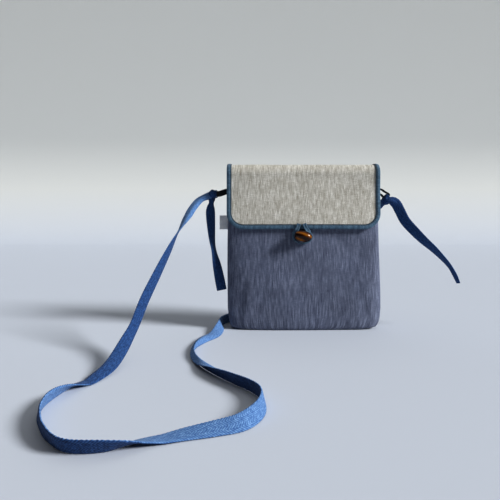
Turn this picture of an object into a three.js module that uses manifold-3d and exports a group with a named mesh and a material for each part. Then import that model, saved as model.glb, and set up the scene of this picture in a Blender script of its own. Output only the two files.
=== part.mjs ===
// A small shoulder bag for a phone: a soft cotton pouch with a bound linen flap, a bead button and its
// tape loop, a tab loop in each side seam, a small cloth tag, and a long flat tape strap that is knotted
// to both tabs.
// Millimetres, +Z up, front towards -Y. The origin is the middle of the pouch's flat base.
import * as THREE from "three";
import { mergeVertices } from "three/addons/utils/BufferGeometryUtils.js";
import Module from "manifold-3d";

const wasm = await Module();
wasm.setup();

// Driving dimensions
const clearance = 0.3; // gap between neighbouring pieces
const clothWall = 2.0; // pouch cloth, two layers with their interlining
const rimHeight = 166; // mouth of the pouch
const roundness = 6; // exponent of the pouch's pillow-shaped plan
const tuckWidth = 7; // half-width of the soft crease down each side
const tuckFade = 12; // exponent that keeps the crease off the front and back
const pouchSides = 60; // facets round the pouch

const flapHalfWidth = 82; // to the raw edge inside the binding
const flapThickness = 1.6;
const flapTop = 180.8; // highest point of the fold over the mouth
const flapFrontEdge = 112; // raw lower edge on the front
const flapBackEdge = 140; // seam on the back
const flapCorner = 17; // radius of the two front corners
const flapBow = 2.2; // how far the front's side edges lie back
const bowSpan = { start: 8, full: 40 }; // below the top, where that begins and is complete
const archSquareness = 2.7; // exponent of the fold's profile
const flapStandOff = { back: 0.6, mouth: 1.0, frontEdge: 2.2 }; // gap between the pouch and the flap

const bindingLap = 4.6; // width of the binding on each face
const bindingWall = 1.0;

const strapWidth = 11;
const strapThickness = 1.6;
const tabWidth = 6;
const tabThickness = 1.2;
const tabHeight = 152.5;
const tabReach = { left: 96, right: 97.5 };
const seamAllowance = 1.1; // room for the crease's facets beside a piece that is sewn into it
const leftEye = new THREE.Vector3(-95.6, 0, 149.4); // middle of the bight through each tab's eye
const rightEye = new THREE.Vector3(95.1, 0, 145.9);
const bightReach = { out: 3.9, across: 5.2 };
const bightTape = { width: 2.6, thickness: 1.5 };
const knotRadii = new THREE.Vector3(4.3, 4.8, 4.6);
const leftKnotCentre = new THREE.Vector3(-101.2, -0.4, 149.4);
const rightKnotCentre = new THREE.Vector3(97.4, -0.6, 140);

const loopWidth = 3.6;
const loopThickness = 1.4;
const loopSlack = 1.0; // how far the loop stands off the pouch round the bead

const beadLength = 18.4;
const beadRadius = 5.7;
const beadCentre = new THREE.Vector3(-2.2, -29.4, 103.6);
const beadTilt = -9; // degrees, right end low
const beadFullness = 0.86; // exponent of its outline: 1 is an ellipse, less is fuller
const shankRadius = 1.7;

const tagMiddle = 118; // height of the tag's middle
const tagHeight = 15.5;
const tagReach = 7.6; // beyond the side of the pouch
const tagThickness = 1.0;
const tagFlare = 0.4; // how much taller the folded edge is at each end
const tagCurl = 0.9; // bow of the folded edge

// The pouch, a row for each level: half-width, half-depth and the depth of the crease down the side
const pouchLevels = [
  { z: 0, wide: 71, deep: 17.4, tuck: 0 },
  { z: 1.2, wide: 77, deep: 19, tuck: 0 },
  { z: 3, wide: 80.6, deep: 19.8, tuck: 0 },
  { z: 6, wide: 82.8, deep: 20.2, tuck: 0.1 },
  { z: 12, wide: 84.2, deep: 20.4, tuck: 0.4 },
  { z: 24, wide: 84.7, deep: 20.4, tuck: 0.7 },
  { z: 40, wide: 84.8, deep: 20.4, tuck: 1 },
  { z: 70, wide: 84.8, deep: 20.2, tuck: 1.4 },
  { z: 95, wide: 84.6, deep: 19.6, tuck: 2 },
  { z: 117, wide: 84.2, deep: 18.2, tuck: 2.7 },
  { z: 140, wide: 83.7, deep: 15.8, tuck: 3.6 },
  { z: 155, wide: 83.4, deep: 14.2, tuck: 4.4 },
  { z: rimHeight, wide: 83.2, deep: 13.2, tuck: 5 },
];

// Soft dents of the cloth: middle, half-width, half-height and depth, on the front (-1) or the back (1)
const dents = [
  { x: -60, z: 66, wide: 13, tall: 46, depth: 1.5, face: -1 },
  { x: 54, z: 58, wide: 12, tall: 42, depth: 1.2, face: -1 },
  { x: -14, z: 30, wide: 34, tall: 12, depth: 0.9, face: -1 },
  { x: 16, z: 84, wide: 30, tall: 16, depth: 0.8, face: -1 },
  { x: 30, z: 70, wide: 26, tall: 40, depth: 1.4, face: 1 },
  { x: -44, z: 48, wide: 20, tall: 34, depth: 1.2, face: 1 },
];

// The strap's route from the left knot to the right one. lift is the height of the tape's lower side over
// the floor, and roll turns the tape about its own run: at 0 or -180 it stands on edge, at -90 or -270 it
// is flat. fold is how far each half of the tape slopes down from its middle line, where it is creased
// lengthwise.
const strapRoute = [
  { x: -107.8, y: -2, lift: 142.6, roll: -500, fold: 24 },
  { x: -116, y: -7, lift: 138.6, roll: -482, fold: 24 },
  { x: -124, y: -20, lift: 126.8, roll: -465, fold: 26 },
  { x: -130.4, y: -41, lift: 109, roll: -416, fold: 12 },
  { x: -136.6, y: -62, lift: 90.8, roll: -374, fold: -4 },
  { x: -145.2, y: -84, lift: 68.2, roll: -358, fold: -8 },
  { x: -155, y: -103, lift: 43.4, roll: -350, fold: -8 },
  { x: -162, y: -119.5, lift: 20.2, roll: -342, fold: -8 },
  { x: -166.4, y: -142, lift: 8.4, roll: -308, fold: -8 },
  { x: -168.8, y: -166, lift: 3.2, roll: -286, fold: -14 },
  { x: -175.4, y: -184.5, lift: 0.6, roll: -270, fold: -20 },
  { x: -183.6, y: -201, lift: 0, roll: -246, fold: -16 },
  { x: -188.8, y: -221, lift: 0, roll: -214, fold: -4 },
  { x: -189.8, y: -235, lift: 0, roll: -200, fold: 0 },
  { x: -186.8, y: -250, lift: 0, roll: -192, fold: 0 },
  { x: -181.4, y: -263, lift: 0, roll: -183, fold: 0 },
  { x: -170.6, y: -281, lift: 0, roll: -168, fold: 0 },
  { x: -154, y: -296, lift: 0, roll: -152, fold: 0 },
  { x: -132, y: -295.5, lift: 0, roll: -142, fold: 0 },
  { x: -116, y: -285.5, lift: 0.4, roll: -102, fold: 0 },
  { x: -99, y: -277.5, lift: 0, roll: -80, fold: 0 },
  { x: -79, y: -271.5, lift: 0, roll: -62, fold: 0 },
  { x: -62.5, y: -264.5, lift: 0, roll: -44, fold: 0 },
  { x: -52, y: -247.5, lift: 0, roll: -24, fold: 0 },
  { x: -50.5, y: -227, lift: 0, roll: -14, fold: 0 },
  { x: -58, y: -209, lift: 0, roll: -18, fold: 0 },
  { x: -72, y: -191.5, lift: 0, roll: -22, fold: 8 },
  { x: -87.5, y: -170, lift: 0, roll: -36, fold: 34 },
  { x: -100.4, y: -147, lift: 0, roll: -62, fold: 60 },
  { x: -108.4, y: -122, lift: 0, roll: -70, fold: 64 },
  { x: -110.2, y: -95, lift: 0, roll: -70, fold: 62 },
  { x: -104.5, y: -69, lift: 0, roll: -70, fold: 34 },
  { x: -95, y: -46, lift: 0, roll: -72, fold: 6 },
  { x: -91, y: -20, lift: 0, roll: -40, fold: 0 },
  { x: -90, y: 5, lift: 0, roll: 0, fold: 0 },
  { x: -79, y: 22, lift: 0, roll: 0, fold: 0 },
  { x: -45, y: 25, lift: 0, roll: 0, fold: 0 },
  { x: -8, y: 25, lift: 3, roll: 0, fold: 0 },
  { x: 26, y: 25, lift: 18, roll: 0, fold: 0 },
  { x: 52, y: 25, lift: 52, roll: 0, fold: 0 },
  { x: 70, y: 24.6, lift: 94, roll: 0, fold: 0 },
  { x: 83, y: 19.6, lift: 126, roll: 0, fold: 0 },
  { x: 93.2, y: 4.2, lift: 135, roll: -12, fold: 0 },
];

// The two free ends below the knots: places on the tape's middle line, and its turn from facing the front
const leftTailRoute = [
  { x: -100.6, y: -1, z: 143.4, roll: -60 },
  { x: -101.2, y: -2, z: 137, roll: -44 },
  { x: -102.4, y: -3, z: 127, roll: -25 },
  { x: -101.6, y: -4, z: 113, roll: -42 },
  { x: -100.4, y: -4, z: 98, roll: -60 },
  { x: -98.2, y: -4, z: 85, roll: -66 },
  { x: -95.6, y: -4, z: 71, roll: -38 },
  { x: -92.4, y: -4, z: 54, roll: -14 },
  { x: -90.2, y: -4, z: 42.3, roll: -6 },
];
const rightTailRoute = [
  { x: 101.2, y: -1.5, z: 143.8, roll: -50 },
  { x: 104.6, y: -2.5, z: 140.6, roll: -34 },
  { x: 108.6, y: -3.5, z: 131, roll: -6 },
  { x: 114.4, y: -5, z: 119.5, roll: 18 },
  { x: 123.4, y: -6.5, z: 108.5, roll: 28 },
  { x: 133.4, y: -7.5, z: 98.5, roll: 36 },
  { x: 143, y: -8, z: 90, roll: 46 },
  { x: 152, y: -8, z: 81.4, roll: 56 },
  { x: 161, y: -8, z: 71, roll: 60 },
  { x: 168.6, y: -8, z: 60, roll: 60 },
  { x: 173.8, y: -8, z: 51.5, roll: 58 },
];

// The left tab, one of its two legs: share of its length, half the eye's width there and the droop. Its eye
// stands upright, so the legs lie one behind the other.
const leftTabLeg = [
  { out: 0, apart: 1, drop: 0 },
  { out: 0.35, apart: 2.2, drop: 0.4 },
  { out: 0.72, apart: 2.9, drop: 2.3 },
  { out: 0.93, apart: 2.1, drop: 3 },
  { out: 1, apart: 0, drop: 3.2 },
];

// The right tab from end to end: share of its length and height. Its eye opens to the front.
const rightTabRoute = [
  { out: 0, rise: 2.6 },
  { out: 0.42, rise: 2.2 },
  { out: 0.66, rise: -0.2 },
  { out: 0.95, rise: -3.2 },
  { out: 0.89, rise: -6 },
  { out: 0.61, rise: -6.2 },
  { out: 0.42, rise: -3.6 },
  { out: 0, rise: -1.2 },
];

// The closure loop round the bead: place from the bead's middle, raised onto the binding (1) or not, and roll
const loopRoute = [
  { x: -3.6, z: 13.4, raised: 1, roll: 0 },
  { x: -4.2, z: 9.4, raised: 1, roll: 0 },
  { x: -6, z: 5, raised: 1, roll: 24 },
  { x: -9.6, z: 1.8, raised: 0, roll: 80 },
  { x: -9.4, z: -3.6, raised: 0, roll: 90 },
  { x: -4.6, z: -7.2, raised: 0, roll: 90 },
  { x: 1.2, z: -8, raised: 0, roll: 90 },
  { x: 7.2, z: -6.4, raised: 0, roll: 90 },
  { x: 10.6, z: -1.6, raised: 0, roll: 90 },
  { x: 9, z: 3, raised: 0, roll: 80 },
  { x: 6, z: 5, raised: 1, roll: 24 },
  { x: 4.6, z: 9.4, raised: 1, roll: 0 },
  { x: 4, z: 13.4, raised: 1, roll: 0 },
];

// A solid through rings of equal point count. The ends are capped, or the last ring meets the first.
function loft(rings, endless = false) {
  const count = rings[0].length;
  const points = rings.flat();
  const faces = [];
  const last = endless ? rings.length : rings.length - 1;
  for (let i = 0; i < last; i++) {
    const here = i * count;
    const next = ((i + 1) % rings.length) * count;
    for (let k = 0; k < count; k++) {
      const side = (k + 1) % count;
      faces.push([here + k, here + side, next + side], [here + k, next + side, next + k]);
    }
  }
  if (!endless) {
    faces.push(...cap(rings[0]).map(([a, b, c]) => [a, c, b]));
    faces.push(...cap(rings.at(-1)).map((face) => face.map((k) => k + points.length - count)));
  }
  const wedge = ([a, b, c]) => points[a].dot(points[b].clone().cross(points[c]));
  const facesOut = faces.reduce((sum, face) => sum + wedge(face), 0) > 0;
  const geometry = new THREE.BufferGeometry().setFromPoints(points);
  geometry.setIndex(faces.flatMap(([a, b, c]) => (facesOut ? [a, b, c] : [a, c, b])));
  return geometry;
}

// The triangles of a flat ring, found in the ring's own plane and turned the way the ring runs
function cap(ring) {
  const normal = new THREE.Vector3();
  ring.forEach((p, k) => normal.add(p.clone().cross(ring[(k + 1) % ring.length])));
  normal.normalize();
  const across = ring[1].clone().sub(ring[0]).projectOnPlane(normal).normalize();
  const up = normal.clone().cross(across);
  const flat = ring.map((p) => new THREE.Vector2(p.dot(across), p.dot(up)));
  return THREE.ShapeUtils.triangulateShape(flat, []);
}

// One body from overlapping closed geometries
function join(...geometries) {
  const bodies = geometries.map((geometry) => {
    const bare = geometry.clone();
    Object.keys(bare.attributes).forEach((name) => name !== "position" && bare.deleteAttribute(name));
    const merged = mergeVertices(bare, 1e-3);
    const vertProperties = new Float32Array(merged.attributes.position.array);
    return new wasm.Manifold(
      new wasm.Mesh({ numProp: 3, vertProperties, triVerts: new Uint32Array(merged.index.array) }),
    );
  });
  const made = bodies.reduce((a, b) => a.add(b)).getMesh();
  const geometry = new THREE.BufferGeometry();
  geometry.setAttribute("position", new THREE.BufferAttribute(new Float32Array(made.vertProperties), 3));
  return geometry.setIndex(new THREE.BufferAttribute(new Uint32Array(made.triVerts), 1));
}

const radians = THREE.MathUtils.degToRad;

// Pouch: a size of the outside between the levels of the table
function pouchSize(column, z) {
  const next = Math.max(1, pouchLevels.findIndex((level) => level.z >= z));
  const low = pouchLevels[next - 1];
  const high = pouchLevels[next];
  return THREE.MathUtils.mapLinear(z, low.z, high.z, low[column], high[column]);
}

function dentDepth(x, z, face) {
  const hollow = (dent) => {
    const far = ((x - dent.x) / dent.wide) ** 2 + ((z - dent.z) / dent.tall) ** 2;
    return dent.depth * Math.exp(-far);
  };
  return dents.filter((dent) => dent.face === face).reduce((sum, dent) => sum + hollow(dent), 0);
}

// One level of the pouch on a pillow-shaped plan, moved in by the wall on the inside
function pouchRing(level, inset, z = level.z) {
  const wide = level.wide - inset;
  const deep = level.deep - inset;
  const planSteps = 720; // before the corners are spaced out
  const plan = Array.from({ length: planSteps }, (_, i) => {
    const angle = (2 * Math.PI * i) / planSteps;
    const bend = (value) => Math.sign(value) * Math.abs(value) ** (2 / roundness);
    return new THREE.Vector2(wide * bend(Math.cos(angle)), deep * bend(Math.sin(angle)));
  });
  return spacedRound(plan).map(({ x, y }) => {
    const crease = level.tuck * Math.exp(-((y / tuckWidth) ** 2)) * Math.abs(x / wide) ** tuckFade;
    const dent = dentDepth(x, z, Math.sign(y)) * Math.min(1, Math.abs(y / deep) ** 2);
    return new THREE.Vector3(x - Math.sign(x) * crease, y - Math.sign(y) * dent, z);
  });
}

// A closed plan with the pouch's number of corners, closer together on the sides than on the front and back
function spacedRound(plan) {
  const sideDensity = 2.4;
  const travel = [0];
  plan.forEach((p, i) => {
    const next = plan[(i + 1) % plan.length];
    travel.push(travel[i] + Math.abs(next.x - p.x) + sideDensity * Math.abs(next.y - p.y));
  });
  return Array.from({ length: pouchSides }, (_, k) => {
    const goal = (travel.at(-1) * k) / pouchSides;
    const i = Math.min(plan.length - 1, travel.findIndex((t) => t > goal) - 1);
    const share = (goal - travel[i]) / (travel[i + 1] - travel[i]);
    return plan[i].clone().lerp(plan[(i + 1) % plan.length], share);
  });
}

function pouch() {
  const outside = pouchLevels.map((level) => pouchRing(level, 0));
  const inside = pouchLevels
    .filter((level) => level.z > clothWall)
    .reverse()
    .map((level) => pouchRing(level, clothWall));
  const insideFloor = pouchRing(pouchLevels[1], clothWall, clothWall);
  return loft([...outside, ...inside, insideFloor]);
}

// Flap: the profile of its middle layer, from the seam on the back over the mouth and down the front
function flapProfile() {
  const half = flapThickness / 2;
  const { back, mouth, frontEdge } = flapStandOff;
  const frontY = (z) => {
    const gap = THREE.MathUtils.mapLinear(z, rimHeight, flapFrontEdge, mouth, frontEdge);
    return -(pouchSize("deep", z) + gap + half);
  };
  const backY = (z) => pouchSize("deep", z) + back + half;
  const archHeight = flapTop - half - rimHeight;
  const backSteps = 3;
  const archSteps = 12;
  const frontSteps = 5;
  const points = [];
  for (let i = 0; i < backSteps; i++) {
    const z = THREE.MathUtils.lerp(flapBackEdge, rimHeight, i / backSteps);
    points.push(new THREE.Vector2(backY(z), z));
  }
  for (let i = 0; i <= archSteps; i++) {
    const angle = (Math.PI * i) / archSteps;
    const bend = (value) => Math.sign(value) * Math.abs(value) ** (2 / archSquareness);
    const reach = i <= archSteps / 2 ? backY(rimHeight) : -frontY(rimHeight);
    const z = rimHeight + archHeight * bend(Math.sin(angle));
    points.push(new THREE.Vector2(reach * bend(Math.cos(angle)), z));
  }
  for (let i = 1; i <= frontSteps; i++) {
    const z = THREE.MathUtils.lerp(rimHeight, flapFrontEdge, i / frontSteps);
    points.push(new THREE.Vector2(frontY(z), z));
  }
  return new THREE.SplineCurve(points);
}

const profile = flapProfile();
const profileLength = profile.getLength();

// Distances along the profile of the flap's rows, closer together round the front corners
function flapRows() {
  const plainRows = 26;
  const cornerRows = 6;
  const rows = [];
  for (let i = 0; i <= plainRows; i++) rows.push(((profileLength - flapCorner) * i) / plainRows);
  for (let i = 1; i <= cornerRows; i++) {
    rows.push(profileLength - flapCorner + flapCorner * Math.sin((Math.PI / 2) * (i / cornerRows)));
  }
  return rows;
}

// A place on the flap's middle layer with the outward normal: share runs from -1 to 1 across the flap
function flapPlace(share, distance) {
  const at = Math.min(1, distance / profileLength);
  const { x: y, y: z } = profile.getPointAt(at);
  const run = profile.getTangentAt(at);
  const normal = new THREE.Vector3(0, -run.y, run.x).negate();
  const fromEdge = profileLength - distance;
  const drop = Math.max(0, flapCorner - fromEdge);
  const halfWidth = flapHalfWidth - flapCorner + Math.sqrt(flapCorner ** 2 - drop ** 2);
  const bow = y < 0 ? flapBow * THREE.MathUtils.smoothstep(flapTop - z, bowSpan.start, bowSpan.full) : 0;
  const x = share * halfWidth;
  const point = new THREE.Vector3(x, y, z).addScaledVector(normal, -bow * (x / flapHalfWidth) ** 2);
  return { point, normal };
}

function flap() {
  const columns = 12;
  const shares = Array.from({ length: columns + 1 }, (_, k) => (2 * k) / columns - 1);
  const half = flapThickness / 2;
  const rings = flapRows().map((distance) => {
    const face = (side) => shares.map((share) => {
      const { point, normal } = flapPlace(share, distance);
      return point.addScaledVector(normal, side * half);
    });
    return [...face(1), ...face(-1).reverse()];
  });
  return loft(rings);
}

// Binding: a channel of folded tape down one side of the flap, along its front edge and up the other side
function bindingEdge() {
  const rows = flapRows();
  const side = (share) => rows.map((distance) => flapPlace(share, distance));
  const bottomSteps = 10;
  const bottom = Array.from({ length: bottomSteps - 1 }, (_, k) =>
    flapPlace((2 * (k + 1)) / bottomSteps - 1, profileLength),
  );
  return [...side(-1), ...bottom, ...side(1).reverse()];
}

function channelSection() {
  const inner = flapThickness / 2 + clearance;
  const outer = inner + bindingWall;
  const roundSteps = 4;
  const section = [new THREE.Vector2(bindingLap, outer)];
  for (let i = 0; i <= roundSteps; i++) {
    const angle = Math.PI / 2 + (Math.PI * i) / roundSteps;
    section.push(new THREE.Vector2((clearance + bindingWall) * Math.cos(angle), outer * Math.sin(angle)));
  }
  section.push(new THREE.Vector2(bindingLap, -outer), new THREE.Vector2(bindingLap, -inner));
  section.push(new THREE.Vector2(-clearance, -inner), new THREE.Vector2(-clearance, inner));
  section.push(new THREE.Vector2(bindingLap, inner));
  return section;
}

function flapBinding() {
  const edge = bindingEdge();
  const section = channelSection();
  const rings = edge.map(({ point, normal }, i) => {
    const before = edge[Math.max(0, i - 1)].point;
    const after = edge[Math.min(edge.length - 1, i + 1)].point;
    const run = after.clone().sub(before).normalize();
    const inward = normal.clone().cross(run).normalize();
    const outward = run.clone().cross(inward).normalize();
    return section.map(({ x, y }) => point.clone().addScaledVector(inward, x).addScaledVector(outward, y));
  });
  return loft(rings);
}

// A flat tape along a route. Its width starts along the hint, squared to the run, and turns by the roll.
function tape(route, { width, thickness, steps, hint, endless = false }) {
  const places = route.map(({ x, y, z }) => new THREE.Vector3(x, y, z));
  const curve = new THREE.CatmullRomCurve3(places, endless, "catmullrom");
  const spans = endless ? route.length : route.length - 1;
  const count = endless ? steps : steps + 1;
  const rings = [];
  for (let i = 0; i < count; i++) {
    const at = i / steps;
    const travel = at * spans;
    const low = Math.min(spans - 1, Math.floor(travel));
    const high = (low + 1) % route.length;
    const [from, to] = [route[low], route[high]];
    const between = (column) => THREE.MathUtils.lerp(from[column] ?? 0, to[column] ?? 0, travel - low);
    const roll = between("roll");
    const fold = between("fold");
    const run = curve.getTangent(at);
    const wide = hint.clone().projectOnPlane(run).normalize().applyAxisAngle(run, radians(roll));
    const thick = run.clone().cross(wide);
    const centre = curve.getPoint(at);
    const section = tapeSection(width, thickness, fold);
    rings.push(section.map(({ x, y }) => centre.clone().addScaledVector(wide, x).addScaledVector(thick, y)));
  }
  return loft(rings, endless);
}

// Both faces of a tape, width by thickness, with its two halves sloping down from the middle
function tapeSection(width, thickness, fold) {
  const reach = (width / 2) * Math.cos(radians(fold));
  const rise = (width / 2) * Math.sin(radians(fold));
  const line = [[-reach, -rise / 2], [0, rise / 2], [reach, -rise / 2]];
  const face = (side) => line.map(([x, y]) => new THREE.Vector2(x, y + (side * thickness) / 2));
  return [...face(-1), ...face(1).reverse()];
}

// The height of the tape's middle, so that its lower side keeps the stated lift over the floor
function standing({ lift, ...row }) {
  const roll = radians(row.roll);
  const reach = (strapWidth / 2) * Math.cos(radians(row.fold));
  const rise = (strapWidth / 4) * Math.abs(Math.sin(radians(row.fold))) + strapThickness / 2;
  return { ...row, z: lift + clearance + reach * Math.abs(Math.cos(roll)) + rise * Math.abs(Math.sin(roll)) };
}

const upright = new THREE.Vector3(0, 0, 1);
const sideways = new THREE.Vector3(1, 0, 0);
const frontToBack = new THREE.Vector3(0, 1, 0);
const strapTape = { width: strapWidth, thickness: strapThickness };

function strap() {
  const route = strapRoute.map(standing);
  return tape(route, { ...strapTape, steps: 2 * (route.length - 1), hint: upright });
}

function strapTail(route) {
  return tape(route, { ...strapTape, steps: 2 * (route.length - 1), hint: sideways });
}

// Tabs: a folded tape whose two ends are sewn into the side seam
const tabFold = { width: tabWidth, thickness: tabThickness, steps: 18 };

// How far out a piece of that half-thickness starts, so that it clears the crease that it is sewn into
function seamReach(z, halfThickness) {
  const rise = 1 - Math.exp(-((halfThickness / tuckWidth) ** 2));
  return pouchSize("wide", z) - pouchSize("tuck", z) * (1 - rise) + clearance;
}

function leftTab() {
  const seam = seamReach(tabHeight - tabWidth / 2, leftTabLeg[0].apart + tabThickness / 2 + seamAllowance);
  const length = tabReach.left - tabThickness / 2 - seam;
  const leg = (side) => leftTabLeg.map(({ out, apart, drop }) => (
    { x: -seam - out * length, y: side * apart, z: tabHeight - drop, roll: 0 }
  ));
  const [bend, ...back] = leg(-1).reverse();
  return tape([...leg(1).slice(0, -1), bend, ...back], { ...tabFold, hint: upright });
}

function rightTab() {
  const seam = seamReach(tabHeight - tabWidth / 2, tabWidth / 2 + seamAllowance / 2);
  const length = tabReach.right - tabThickness / 2 - seam;
  const route = rightTabRoute.map(({ out, rise }) => (
    { x: seam + out * length, y: 0, z: tabHeight + rise, roll: 0 }
  ));
  return tape(route, { ...tabFold, hint: frontToBack });
}

// Knots: gathered tape that passes through the tab's eye and is wound into a lump
function bight(centre, out, across, hint) {
  const corners = 8;
  const route = Array.from({ length: corners }, (_, k) => {
    const angle = (2 * Math.PI * k) / corners;
    const place = centre.clone();
    place.addScaledVector(out, bightReach.out * Math.cos(angle));
    place.addScaledVector(across, bightReach.across * Math.sin(angle));
    return { x: place.x, y: place.y, z: place.z, roll: 0 };
  });
  return tape(route, { ...bightTape, steps: 3 * corners, hint, endless: true });
}

function lump(centre) {
  const ball = new THREE.SphereGeometry(1, 14, 10);
  return ball.scale(knotRadii.x, knotRadii.y, knotRadii.z).translate(centre.x, centre.y, centre.z);
}

function leftKnot() {
  return join(lump(leftKnotCentre), bight(leftEye, sideways, upright, frontToBack));
}

function rightKnot() {
  const out = new THREE.Vector3(0.6, 0, -0.8);
  const over = new THREE.Vector3(0.8, 0, 0.6);
  return join(lump(rightKnotCentre), bight(rightEye, out, frontToBack, over));
}

// Closure: a tape loop sewn over the binding, round a bead on a thread shank
function closureLoop() {
  const flapY = flapPlace(0, profileLength - bindingLap / 2).point.y;
  const raisedY = flapY - flapThickness / 2 - bindingWall - 2 * clearance - loopThickness / 2;
  const lowY = -pouchSize("deep", beadCentre.z) - clearance - loopWidth / 2 - loopSlack;
  const route = loopRoute.map(({ x, z, raised, roll }) => (
    { x: beadCentre.x + x, y: raised ? raisedY : lowY, z: beadCentre.z + z, roll }
  ));
  const steps = 4 * (route.length - 1);
  return tape(route, { width: loopWidth, thickness: loopThickness, steps, hint: sideways });
}

function beadButton() {
  const steps = 14;
  const outline = Array.from({ length: steps + 1 }, (_, i) => {
    const angle = (Math.PI * i) / steps;
    const radius = i % steps ? beadRadius * Math.sin(angle) ** beadFullness : 0;
    return new THREE.Vector2(radius, -(beadLength / 2) * Math.cos(angle));
  });
  return new THREE.LatheGeometry(outline, 18);
}

// A post of wound thread from the pouch's cloth to the back of the bead
function buttonShank() {
  const root = -(pouchSize("deep", beadCentre.z) - dentDepth(beadCentre.x, beadCentre.z, -1)) - clearance;
  const head = beadCentre.y + beadRadius + clearance;
  const post = new THREE.CylinderGeometry(shankRadius, shankRadius, root - head, 12);
  return post.translate(beadCentre.x, (root + head) / 2, beadCentre.z);
}

// A bare folded tag in the left side seam
function sideTag() {
  const low = tagMiddle - tagHeight / 2;
  const high = tagMiddle + tagHeight / 2;
  const seam = seamReach(low, tagThickness / 2 + seamAllowance);
  const tip = seam + pouchSize("tuck", tagMiddle) + tagReach;
  const outline = new THREE.Shape();
  outline.moveTo(-seam, low);
  outline.lineTo(-seam, high);
  outline.lineTo(-tip, high + tagFlare);
  outline.quadraticCurveTo(-tip - tagCurl, tagMiddle, -tip + tagCurl, low - tagFlare);
  const sheet = { depth: tagThickness, bevelEnabled: false, curveSegments: 6 };
  const tag = new THREE.ExtrudeGeometry(outline, sheet);
  return tag.translate(0, 0, -tagThickness / 2).rotateX(Math.PI / 2);
}

// Finishes
function cloth(color, roughness = 0.95) {
  return new THREE.MeshStandardMaterial({ color, roughness, metalness: 0 });
}

const finishes = {
  pouchCotton: cloth("#53596d"),
  flapLinen: cloth("#bdb9ac"),
  bindingCotton: cloth("#4a6270"),
  strapCotton: cloth("#5f82b6"),
  tabTwill: cloth("#15161b"),
  tagCotton: cloth("#c9cbd2"),
  shankThread: cloth("#2d3646"),
  beadAmber: cloth("#6a3308", 0.18),
};

const bag = new THREE.Group();

function add(name, geometry, finish) {
  const mesh = new THREE.Mesh(geometry, finish);
  mesh.name = name;
  bag.add(mesh);
  return mesh;
}

add("pouch", pouch(), finishes.pouchCotton);
add("flap", flap(), finishes.flapLinen);
add("flap_binding", flapBinding(), finishes.bindingCotton);
add("closure_loop", closureLoop(), finishes.bindingCotton);
const bead = add("bead_button", beadButton(), finishes.beadAmber);
bead.position.copy(beadCentre);
bead.rotation.set(0, -radians(beadTilt), -Math.PI / 2, "YXZ");
add("button_shank", buttonShank(), finishes.shankThread);
add("side_tag", sideTag(), finishes.tagCotton);
add("tab_left", leftTab(), finishes.tabTwill);
add("tab_right", rightTab(), finishes.tabTwill);
add("knot_left", leftKnot(), finishes.strapCotton);
add("knot_right", rightKnot(), finishes.strapCotton);
add("strap", strap(), finishes.strapCotton);
add("strap_tail_left", strapTail(leftTailRoute), finishes.strapCotton);
add("strap_tail_right", strapTail(rightTailRoute), finishes.strapCotton);

export default bag;
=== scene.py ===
import math
import bmesh
import bpy
import numpy as np
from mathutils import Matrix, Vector, noise


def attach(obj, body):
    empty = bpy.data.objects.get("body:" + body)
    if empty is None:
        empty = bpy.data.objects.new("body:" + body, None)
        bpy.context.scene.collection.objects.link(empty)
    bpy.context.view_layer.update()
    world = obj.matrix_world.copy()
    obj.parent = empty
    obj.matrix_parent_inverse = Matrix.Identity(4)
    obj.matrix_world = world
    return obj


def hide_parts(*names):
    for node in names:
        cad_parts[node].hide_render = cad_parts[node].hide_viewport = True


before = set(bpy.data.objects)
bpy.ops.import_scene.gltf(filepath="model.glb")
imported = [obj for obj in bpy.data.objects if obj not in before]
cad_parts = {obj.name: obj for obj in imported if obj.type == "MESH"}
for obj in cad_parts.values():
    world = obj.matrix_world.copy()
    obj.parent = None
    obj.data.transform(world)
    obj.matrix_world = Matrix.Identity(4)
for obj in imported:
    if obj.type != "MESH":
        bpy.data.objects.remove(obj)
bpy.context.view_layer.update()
scene = bpy.context.scene
mm = 0.001
upright, sideways, frontToBack = np.eye(3)[[2, 0, 1]]

# Camera at the photo's place: low, straight on to the bag's front and left of its middle
cameraSet = {"place": (-58.6, -533, 120.6), "pitch": 3.61, "focalPixels": 475, "imagePixels": 500,
             "sensor": 36, "nearest": 0.01}
cameraData = bpy.data.cameras.new("viewCamera")
cameraData.sensor_width = cameraSet["sensor"]
cameraData.lens = cameraSet["sensor"] * cameraSet["focalPixels"] / cameraSet["imagePixels"]
cameraData.clip_start = cameraSet["nearest"]
camera = bpy.data.objects.new("viewCamera", cameraData)
camera.location = [value * mm for value in cameraSet["place"]]
camera.rotation_euler = (math.radians(90 - cameraSet["pitch"]), 0, 0)
scene.collection.objects.link(camera)
scene.camera = camera
print("camera set")


def linear(hexColour):  # sRGB hex to the linear colour that a socket takes
    parts = [int(hexColour[i:i + 2], 16) / 255 for i in (1, 3, 5)]
    return [p / 12.92 if p <= 0.04045 else ((p + 0.055) / 1.055) ** 2.4 for p in parts] + [1]


def addNode(tree, kind, inputs=None, **settings):  # a value that is a socket is linked, any other is set
    made = tree.nodes.new(kind)
    for key, value in settings.items():
        setattr(made, key, value)
    for key, value in (inputs or {}).items():
        if isinstance(value, bpy.types.NodeSocket):
            tree.links.new(value, made.inputs[key])
        else:
            made.inputs[key].default_value = value
    return made


def startMaterial(name, **constants):
    material = bpy.data.materials.new(name)
    material.use_nodes = True
    tree = material.node_tree
    shader = tree.nodes["Principled BSDF"]
    for key, value in constants.items():
        shader.inputs[key.replace("_", " ")].default_value = value
    return material, tree, shader


def setRamp(rampNode, stops):  # stops are (place, hex colour)
    ramp = rampNode.color_ramp
    while len(ramp.elements) < len(stops):
        ramp.elements.new(1)
    for element, (place, colour) in zip(ramp.elements, stops):
        element.position = place
        element.color = linear(colour)
    return rampNode.outputs["Color"]


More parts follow.
